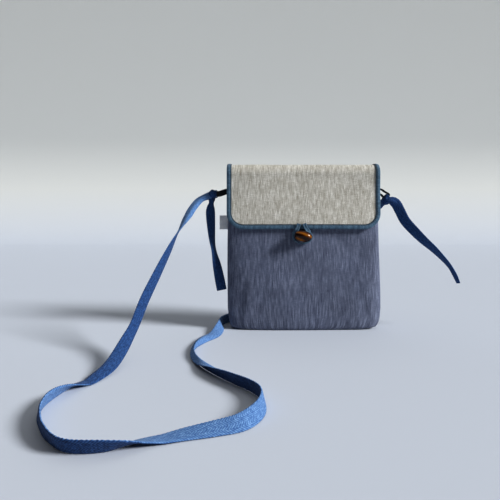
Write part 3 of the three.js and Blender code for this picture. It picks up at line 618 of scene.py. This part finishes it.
def pouchSkin():
    rim, wall = pouchSet["rim"], pouchSet["wall"]
    heights = np.concatenate([[0, 0.5, 1.2, 2, 3, 4.2, 5.8, 7.4], np.linspace(9, rim - 1, 92)])
    base = np.array(pouchRing(0))
    middle = base.mean(axis=0)
    rings = [middle + (base - middle) * share for share in (0.001, 0.3, 0.6, 0.85, 0.95)]
    rings += [pouchRing(z) for z in heights]
    half = wall / 2
    for turn in np.linspace(0.15, 0.85, 5) * math.pi:  # the rolled rim
        lip = pouchRing(rim, half * (1 - math.cos(turn)))
        rings.append([(*p[:2], rim - half + half * math.sin(turn)) for p in lip])
    rings += [pouchRing(z, wall) for z in heights[::-1] if z > wall]
    floor = np.array(pouchRing(wall, wall + 1))
    inside = middle * [1, 1, 0]
    rings += [inside + (floor - inside) * [share, share, 1] for share in (1, 0.7, 0.35, 0.001)]
    rings = np.array([np.array(ring) for ring in rings])
    around = travelAlong(np.vstack([base, base[:1]]))
    up = travelAlong(rings[:, len(angles) // 4])
    marks = [[(u * mm, v * mm) for u in around] for v in up]
    return skinRows(rings * mm, marks)


makePiece("pouch_shell", [pouchSkin()], [chambray], ["pouch"])
print("pouch sewn")

# Flap: a sheet folded over the mouth. Its profile runs from the seam on the back over the top to the front.
# standOff is its distance from the pouch at the back, the mouth and the front edge. slack has waves per mm
# across and along, a seed and a depth.
flapSet = {"halfWidth": 82, "thickness": 1.5, "halfLoft": 0.8, "top": 181.7, "shift": -0.7, "frontEdge": 112,
           "backEdge": 140, "corner": 17, "bow": 2.2, "bowSpan": (8, 40), "squareness": 2.7,
           "standOff": (0.6, 1.0, 3.2), "columns": 120, "rowStep": 0.9, "cornerRows": 26,
           "slack": [(0.03, 0.035, 9, 0.3), (0.1, 0.1, 4, 0.12)]}


def flapProfile():
    rim, half = pouchSet["rim"], flapSet["halfLoft"]
    back, mouth, edge = flapSet["standOff"]

    def frontY(z):
        return -(pouchLevel(z, 2) + np.interp(z, [flapSet["frontEdge"], rim], [edge, mouth]) + half)

    def backY(z):
        return pouchLevel(z, 2) + back + half

    rows = [(0, backY(z), z) for z in np.linspace(flapSet["backEdge"], rim, 4)[:-1]]
    for a in np.linspace(0, math.pi, 13):
        reach = backY(rim) if a <= math.pi / 2 else -frontY(rim)
        rise = (flapSet["top"] - half - rim) * abs(math.sin(a)) ** (2 / flapSet["squareness"])
        rows.append((0, reach * bend(math.cos(a), flapSet["squareness"]), rim + rise))
    rows += [(0, frontY(z), z) for z in np.linspace(rim, flapSet["frontEdge"], 6)[1:]]
    return followRoute(rows, 0.4)


profile = flapProfile()
profileRun = unit(np.gradient(profile, axis=0))
profileTravel = travelAlong(profile)
flapLength = profileTravel[-1]


def flapPlace(share, distance):
    y, z = (np.interp(distance, profileTravel, profile[:, k]) for k in (1, 2))
    ry, rz = (np.interp(distance, profileTravel, profileRun[:, k]) for k in (1, 2))
    normal = unit(np.array([0, rz, -ry]))
    corner = flapSet["corner"]
    drop = max(0, corner - (flapLength - distance))
    halfWidth = flapSet["halfWidth"] - corner + math.sqrt(max(0, corner ** 2 - drop ** 2))
    low, full = flapSet["bowSpan"]
    t = min(1, max(0, (flapSet["top"] - z - low) / (full - low)))
    bow = flapSet["bow"] * t * t * (3 - 2 * t) if y < 0 else 0
    x = share * halfWidth
    slack = sum(deep * noise.noise(Vector((x * a, distance * b, seed)))
                for a, b, seed, deep in flapSet["slack"])
    place = np.array([x + flapSet["shift"], y, z])
    return place + normal * (slack - bow * (x / flapSet["halfWidth"]) ** 2), normal


def flapDistances(step, cornerRows):  # even steps down to the round corners, then closer ones
    straight = flapLength - flapSet["corner"]
    corner = straight + flapSet["corner"] * np.sin(np.linspace(0, math.pi / 2, cornerRows))
    return np.concatenate([np.arange(0, straight, step), corner])


def flapSkin():
    shares = np.linspace(-1, 1, flapSet["columns"])
    rings, marks = [], []
    for distance in flapDistances(flapSet["rowStep"], flapSet["cornerRows"]):
        places = [flapPlace(share, distance) for share in shares]
        half = flapSet["thickness"] / 2
        rings.append([p + n * half for p, n in places] + [p - n * half for p, n in places[::-1]])
        u = [p[0] * mm for p, n in places]
        marks.append([(value, distance * mm) for value in u + u[::-1] + u[:1]])
    points, faces, corners = skinRows(np.array(rings) * mm, marks)
    count = 2 * len(shares)
    for start, i in ((0, 0), ((len(rings) - 1) * count, -1)):
        for k in range(len(shares) - 1):
            ring = (k, k + 1, count - k - 2, count - k - 1)
            faces.append(tuple(start + n for n in ring))
            corners.append([marks[i][n] for n in ring])
    return points, faces, corners


flap = makePiece("flap_sheet", [flapSkin()], [linen], ["flap"])

# Binding: tape folded over the flap's edge, down one side, along the front and up the other. Its seam dips by
# seamDip, as deep as wide, and its inner edge is drawn in and out by pull.
bindingSet = {"lap": 4.0, "inner": 0.85, "outer": 1.55, "bulge": 0.3, "over": 1.2, "step": 1.0, "seam": 1.1,
              "seamDip": 0.45, "pull": 0.12, "pullWave": 0.21, "pullFrom": 3,
              "cornerRows": 40, "frontPoints": 130}


def bindingEdge():
    down = flapDistances(bindingSet["step"], bindingSet["cornerRows"])
    left, right = ([flapPlace(share, distance) for distance in down] for share in (-1, 1))
    shares = np.linspace(-1, 1, bindingSet["frontPoints"])[1:-1]
    bottom = [flapPlace(share, flapLength) for share in shares]
    edge = left + bottom + right[::-1]
    place, normal = np.array([p for p, n in edge]), np.array([n for p, n in edge])
    travel = travelAlong(place)
    even = np.linspace(0, travel[-1], round(travel[-1] / bindingSet["step"]))
    even = [np.array([np.interp(even, travel, a[:, k]) for k in range(3)]).T for a in (place, normal)]
    run = unit(np.gradient(even[0], axis=0))
    inward = unit(np.cross(even[1], run))
    return even[0], inward, np.cross(run, inward)


def bindingSkin():
    place, inward, outward = bindingEdge()
    lap, inner, outer, over, dip = (bindingSet[k] for k in ("lap", "inner", "outer", "over", "seamDip"))
    front = []
    for x in np.linspace(lap - 0.3, 0, 16):
        seam = dip * math.exp(-((lap - x - bindingSet["seam"]) / dip) ** 2)
        front.append((x, outer + bindingSet["bulge"] * math.sin(math.pi * min(1, (lap - x) / lap)) - seam))
    edge = [(-over * math.sin(a), outer * math.cos(a)) for a in np.linspace(0, math.pi, 11)[1:-1]]
    outside = [(lap, inner + 0.1), (lap + 0.05, (inner + outer) / 2)] + front + edge
    outside += [(x, -y) for x, y in front[::-1]] + [(lap + 0.05, -(inner + outer) / 2), (lap, -inner - 0.1)]
    inside = [(lap - 0.4, -inner), (0, -inner), (-0.3, 0), (0, inner), (lap - 0.4, inner)]
    section = np.array(outside + inside)
    around = travelAlong(np.vstack([section, section[:1]]))
    rings, marks = [], []
    for i in range(len(place)):
        pull = bindingSet["pull"] * noise.noise(Vector((i * bindingSet["pullWave"], 3, 0)))
        drawn = [(x + (pull if x > bindingSet["pullFrom"] else 0), y) for x, y in section]
        rings.append([place[i] + inward[i] * x + outward[i] * y for x, y in drawn])
        marks.append([(v * mm, i * bindingSet["step"] * mm) for v in around])
    points, faces, corners = skinRows(np.array(rings) * mm, marks)
    count = len(section)
    for start, i in ((0, 0), ((len(rings) - 1) * count, -1)):
        faces.append(tuple(start + k for k in range(count)))
        corners.append(marks[i][:count])
    return points, faces, corners


binding = makePiece("flap_edge_binding", [bindingSkin()], [bindingCotton], ["flap_binding"])
print("flap folded, length", round(flapLength, 1))

# Tabs: a folded tape in each side seam. The left eye stands upright and the right one opens to the front.
# A point is a share of the reach, then half the eye's width and the droop on the left, the rise on the right.
tabSet = {"width": 6, "thickness": 1.5, "step": 0.5, "columns": 13, "height": 152.5,
          "seam": (79.9, 80.4), "reach": (95.4, 96.9),
          "leftLeg": [(0, 1, 0), (0.35, 2.2, 0.4), (0.72, 2.9, 2.3), (0.93, 2.1, 3), (1, 0, 3.2)],
          "right": [(0, 2.6), (0.42, 2.2), (0.66, -0.2), (0.95, -3.2), (0.89, -6), (0.61, -6.2),
                    (0.42, -3.6), (0, -1.2)]}


def leftTabRoute():
    seam, reach, top = tabSet["seam"][0], tabSet["reach"][0], tabSet["height"]
    leg = [(-seam - out * (reach - seam), apart, top - drop, 0) for out, apart, drop in tabSet["leftLeg"]]
    return leg + [(x, -y, z, roll) for x, y, z, roll in leg[-2::-1]]


def rightTabRoute():
    seam, reach = tabSet["seam"][1], tabSet["reach"][1]
    return [(seam + out * (reach - seam), 0, tabSet["height"] + rise, 0) for out, rise in tabSet["right"]]


makePiece("tab_loop_left", [tapeSkin(leftTabRoute(), tabSet, upright)[0]],
          [blackTwill], ["tab_left"])
makePiece("tab_loop_right", [tapeSkin(rightTabRoute(), tabSet, frontToBack)[0]],
          [blackTwill], ["tab_right"])

# Tag: a short ribbon folded double in the left seam. out is shares of its reach and half its gap.
tagSet = {"width": 15.5, "thickness": 0.5, "step": 0.4, "columns": 21, "middle": 118, "seam": 82.3,
          "tip": 92.3, "out": [(0, 0.2), (0.4, 0.32), (0.8, 0.36), (0.95, 0.36), (1, 0)]}
tagReach = tagSet["tip"] - tagSet["seam"]
tagRoute = [(-tagSet["seam"] - share * tagReach, y, tagSet["middle"], 0) for share, y in tagSet["out"]]
tagRoute += [(x, -y, z, roll) for x, y, z, roll in tagRoute[-2::-1]]
makePiece("seam_tag", [tapeSkin(tagRoute, tagSet, upright)[0]], [ribbon], ["side_tag"])
print("tabs and tag sewn in")

# Closure: a tape loop round the bead. Its points are x and z from the bead's middle, 1 where it is raised
# onto the binding or 0 where it lies on the pouch, and roll.
beadSet = {"centre": (-2.2, -29.4, 103.6), "length": 18.4, "radius": 5.7, "tilt": 9, "fullness": 0.86,
           "wear": 0.02}
loopSet = {"width": 4.4, "thickness": 1.4, "step": 0.5, "columns": 15, "groove": 0.5,
           "raisedY": -25.3, "lowY": -22.9, "route": [
    (-4.2, 13.2, 1, 0), (-5.2, 9.4, 1, 0), (-7.2, 5.2, 1, 20), (-9.9, 1.4, 0, 80), (-9.2, -3.8, 0, 90),
    (-4.6, -7.2, 0, 90), (1.2, -7.9, 0, 90), (7.0, -6.3, 0, 90), (10.4, -1.6, 0, 90), (8.4, 3.4, 0, 80),
    (5, 6, 1, 24), (2.8, 9.4, 1, 0), (1.4, 13.2, 1, 0)]}
beadX, beadZ = beadSet["centre"][0], beadSet["centre"][2]
loopRows = []
for x, z, raised, roll in loopSet["route"]:
    loopRows.append((beadX + x, loopSet["raisedY"] if raised else loopSet["lowY"], beadZ + z, roll))
makePiece("closure_tape", [tapeSkin(loopRows, loopSet, sideways)[0]], [loopCotton],
          ["closure_loop"])


def beadSkin(rows=40, around=56):
    tilt = math.radians(beadSet["tilt"])
    axis = np.array([math.cos(tilt), 0, -math.sin(tilt)])
    side = np.array([math.sin(tilt), 0, math.cos(tilt)])
    rings, marks = [], []
    for i in range(rows + 1):
        polar = math.pi * i / rows
        radius = beadSet["radius"] * max(1e-5, math.sin(polar)) ** beadSet["fullness"]
        ring = []
        for k in range(around):
            a = 2 * math.pi * k / around
            worn = 1 + beadSet["wear"] * noise.noise(Vector((math.cos(a), math.sin(a), polar)))
            ring.append((np.array(beadSet["centre"]) - axis * beadSet["length"] / 2 * math.cos(polar)
                         + radius * worn * (side * math.cos(a) + frontToBack * math.sin(a))) * mm)
        rings.append(ring)
        marks.append([(k / around * 0.03, i / rows * 0.02) for k in range(around + 1)])
    return skinRows(rings, marks)


makePiece("stone_bead", [beadSkin()], [stone], ["bead_button"])

# Shank: thread wound round its own strands between the cloth and the bead
shankSet = {"root": -19.3, "head": -23.5, "radius": 1.4, "post": 1.35, "thread": 0.3, "pitch": 0.56,
            "stepsPerTurn": 22, "threadSides": 8}
shankCentre = np.array(beadSet["centre"]) * [1, 0, 1]


def shankSkin():
    length = shankSet["root"] - shankSet["head"]
    turns = length / shankSet["pitch"]
    count = shankSet["threadSides"]
    rings, marks = [], []
    for s in np.linspace(0, 1, round(turns * shankSet["stepsPerTurn"])):
        a = 2 * math.pi * turns * s
        out = np.array([math.cos(a), 0, math.sin(a)])
        middle = shankCentre + out * shankSet["radius"] + frontToBack * (shankSet["root"] - length * s)
        rings.append([(middle + shankSet["thread"] * (out * math.cos(b) + frontToBack * math.sin(b))) * mm
                      for b in 2 * math.pi * np.arange(count) / count])
        marks.append([(k / count * 0.002, s * 0.1) for k in range(count + 1)])
    return skinRows(rings, marks)


def postSkin(around=20):
    root, head, full, point = shankSet["root"], shankSet["head"], shankSet["post"], 0.01
    rings, marks = [], []
    for y, radius in ((root, point), (root, full), (head, full), (head, point)):
        middle = shankCentre + frontToBack * y
        rings.append([(middle + radius * (sideways * math.cos(a) + upright * math.sin(a))) * mm
                      for a in 2 * math.pi * np.arange(around) / around])
        marks.append([(k / around * 0.009, y * mm) for k in range(around + 1)])
    return skinRows(rings, marks)


makePiece("thread_shank", [shankSkin(), postSkin()], [shankThread], ["button_shank"])
print("closure made")


# Stitches: a small bar of thread at even steps along a line on the cloth
def makeStitchTree():
    tree = bpy.data.node_groups.new("stitchRow", "GeometryNodeTree")
    for name, kind in (("Geometry", "Geometry"), ("Spacing", "Float"), ("Length", "Float"),
                       ("Thickness", "Float"), ("Thread", "Material")):
        tree.interface.new_socket(name=name, in_out="INPUT", socket_type="NodeSocket" + kind)
    tree.interface.new_socket(name="Geometry", in_out="OUTPUT", socket_type="NodeSocketGeometry")
    given = addNode(tree, "NodeGroupInput").outputs
    curve = addNode(tree, "GeometryNodeMeshToCurve", {"Mesh": given["Geometry"]})
    even = addNode(tree, "GeometryNodeResampleCurve", {
        "Curve": curve.outputs["Curve"], "Length": given["Spacing"]}, mode="LENGTH")
    grain = addNode(tree, "GeometryNodeMeshUVSphere", {"Segments": 7, "Rings": 5, "Radius": 0.5})
    size = addNode(tree, "ShaderNodeCombineXYZ", {
        "X": given["Thickness"], "Y": given["Thickness"], "Z": given["Length"]})
    bar = addNode(tree, "GeometryNodeTransform", {
        "Geometry": grain.outputs["Mesh"], "Scale": size.outputs[0]})
    run = addNode(tree, "GeometryNodeInputTangent")
    turn = addNode(tree, "FunctionNodeAlignRotationToVector", {"Vector": run.outputs[0]}, axis="Z")
    vary = addNode(tree, "FunctionNodeRandomValue", {
        0: (0.85, 0.85, 0.9), 1: (1.1, 1.1, 1.08), "Seed": 5}, data_type="FLOAT_VECTOR")
    placed = addNode(tree, "GeometryNodeInstanceOnPoints", {
        "Points": even.outputs["Curve"], "Instance": bar.outputs["Geometry"],
        "Rotation": turn.outputs["Rotation"], "Scale": vary.outputs[0]})
    real = addNode(tree, "GeometryNodeRealizeInstances", {"Geometry": placed.outputs["Instances"]})
    done = addNode(tree, "GeometryNodeSetMaterial", {
        "Geometry": real.outputs["Geometry"], "Material": given["Thread"]})
    addNode(tree, "NodeGroupOutput", {"Geometry": done.outputs["Geometry"]})
    return tree


stitchTree = makeStitchTree()


def stitchLine(name, lines, thread, spacing=3.0, length=2.3, thickness=0.45):
    mesh = bpy.data.meshes.new(name + "_line")
    points = [tuple(np.array(p) * mm) for line in lines for p in line]
    edges, start = [], 0
    for line in lines:
        edges += [(start + k, start + k + 1) for k in range(len(line) - 1)]
        start += len(line)
    mesh.from_pydata(points, edges, [])
    guide = bpy.data.objects.new(name + "_line", mesh)
    scene.collection.objects.link(guide)
    modifier = guide.modifiers.new("stitches", "NODES")
    modifier.node_group = stitchTree
    values = {"Spacing": spacing * mm, "Length": length * mm, "Thickness": thickness * mm, "Thread": thread}
    for item in stitchTree.interface.items_tree:
        if item.in_out == "INPUT" and item.name in values:
            modifier[item.identifier] = values[item.name]
    sewn = bpy.data.meshes.new_from_object(guide.evaluated_get(bpy.context.evaluated_depsgraph_get()))
    bpy.data.objects.remove(guide)
    sewn.name = name
    sewn.polygons.foreach_set("use_smooth", [True] * len(sewn.polygons))
    piece = bpy.data.objects.new(name, sewn)
    scene.collection.objects.link(piece)
    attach(piece, "root")


# One row along the binding's seam, and one across the flap's seam on the back
stitchSet = {"sink": 0.1, "backSeam": 4, "backRise": 0.05, "backSpan": 0.94, "backPoints": 60}
edgePlace, edgeInward, edgeOutward = bindingEdge()
edgeLine = (edgePlace + edgeInward * (bindingSet["lap"] - bindingSet["seam"])
            + edgeOutward * (bindingSet["outer"] - stitchSet["sink"]))
stitchLine("binding_stitches", [edgeLine], bindingThread)
backLine = []
for share in np.linspace(-stitchSet["backSpan"], stitchSet["backSpan"], stitchSet["backPoints"]):
    seamPlace, seamNormal = flapPlace(share, stitchSet["backSeam"])
    backLine.append(seamPlace + seamNormal * (flapSet["thickness"] / 2 + stitchSet["backRise"]))
stitchLine("flap_seam_stitches", [backLine], bindingThread)
print("stitches sewn")

# Stage: a pale floor that sweeps up far behind, one soft light from the right and a little fill. Sizes are
# in m. A light has the way towards it, its strength and its spread in degrees.
stageSet = {"front": -3.0, "back": 1.7, "side": 4.0, "radius": 0.6, "height": 3.0,
            "fill": 0.05, "backdrop": 0.66, "fillColour": "#e6ebf2", "gamma": 0.86,
            "lights": {"window": ((0.82, -0.3, 0.5), 4.7, 18), "ceiling": ((0, 0, 1), 0.7, 90),
                       "backFill": ((0.1, 0.85, 0.5), 0.35, 60)}}


def makeSweepFloor():
    front, back, side, radius = (stageSet[k] for k in ("front", "back", "side", "radius"))
    profileLine = [(front, 0), (back, 0)]
    for a in np.linspace(0, math.pi / 2, 24)[1:]:
        profileLine.append((back + radius * math.sin(a), radius * (1 - math.cos(a))))
    profileLine.append((back + radius, stageSet["height"]))
    mesh = bpy.data.meshes.new("studio_sweep")
    points = [(x, y, z) for y, z in profileLine for x in (-side, side)]
    faces = [(2 * k, 2 * k + 1, 2 * k + 3, 2 * k + 2) for k in range(len(profileLine) - 1)]
    mesh.from_pydata(points, [], faces)
    mesh.polygons.foreach_set("use_smooth", [True] * len(mesh.polygons))
    mesh.materials.append(sweepPaintAndLight)
    sweep = bpy.data.objects.new("studio_sweep", mesh)
    scene.collection.objects.link(sweep)


makeSweepFloor()
for name, (aim, strength, spread) in stageSet["lights"].items():
    lightData = bpy.data.lights.new(name, "SUN")
    lightData.energy = strength
    lightData.angle = math.radians(spread)
    light = bpy.data.objects.new(name, lightData)
    light.rotation_euler = Vector(aim).to_track_quat("Z", "Y").to_euler()
    scene.collection.objects.link(light)
scene.world = bpy.data.worlds.new("studioAir")
scene.world.use_nodes = True
airTree = scene.world.node_tree
air = airTree.nodes["Background"]
air.inputs["Color"].default_value = linear(stageSet["fillColour"])
# past the edges of the sweep the air looks as pale as the sweep itself, and lights the bag no more for that
looked = addNode(airTree, "ShaderNodeLightPath").outputs["Is Camera Ray"]
glow = addNode(airTree, "ShaderNodeMapRange", {
    "Value": looked, "To Min": stageSet["fill"], "To Max": stageSet["backdrop"]})
airTree.links.new(glow.outputs[0], air.inputs["Strength"])
scene.view_settings.view_transform = "Standard"
scene.view_settings.gamma = stageSet["gamma"]
print("stage lit")
